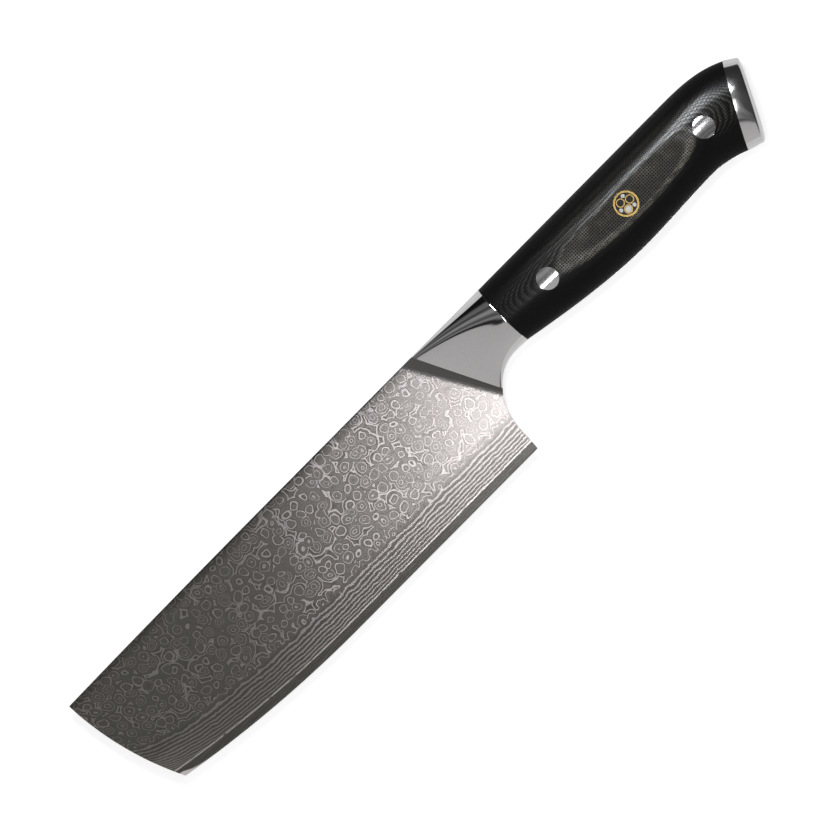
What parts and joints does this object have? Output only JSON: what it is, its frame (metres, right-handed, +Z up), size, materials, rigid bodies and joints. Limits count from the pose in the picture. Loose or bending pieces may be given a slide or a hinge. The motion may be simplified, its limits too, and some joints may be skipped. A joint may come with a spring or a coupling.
{
  "type": "nakiri knife",
  "caption": "Straight-edged vegetable knife: laminated pattern-steel blade, polished forged bolster and full tang, riveted black laminate scales, a mosaic pin and a welded steel butt cap.",
  "frame": {"origin": "under the middle of the knife's box, on the surface that the knife lies on", "axes": "+X from the blade's tip to the butt, +Y from the edge to the spine, +Z up out of the blade's left face"},
  "size_m": [0.3218, 0.0528, 0.0186],
  "materials": {
    "core_steel": "satin ground, bare along the edge",
    "pattern_steel": "layered raindrop pattern, acid etched, satin",
    "polished_steel": "mirror polished",
    "black_laminate": "woven glass laminate, satin",
    "brass": "polished flush",
    "nickel_silver": "polished flush",
    "black_resin": "cast, polished flush"
  },
  "bodies": {
    "root": {"blade_core": "core_steel", "cladding_left": "pattern_steel", "cladding_right": "pattern_steel", "bolster_tang": "polished_steel", "end_cap": "polished_steel", "scale_left": "black_laminate", "scale_right": "black_laminate", "front_rivet_female": "polished_steel", "front_rivet_male": "polished_steel", "rear_rivet_female": "polished_steel", "rear_rivet_male": "polished_steel", "mosaic_pin_tube": "brass", "mosaic_inner_tube_1": "brass", "mosaic_inner_tube_2": "brass", "mosaic_inner_tube_3": "brass", "mosaic_inner_core_1": "black_resin", "mosaic_inner_core_2": "nickel_silver", "mosaic_inner_core_3": "black_resin", "mosaic_rod_1": "nickel_silver", "mosaic_rod_2": "nickel_silver", "mosaic_rod_3": "nickel_silver", "mosaic_resin": "black_resin"}
  },
  "joints": []
}
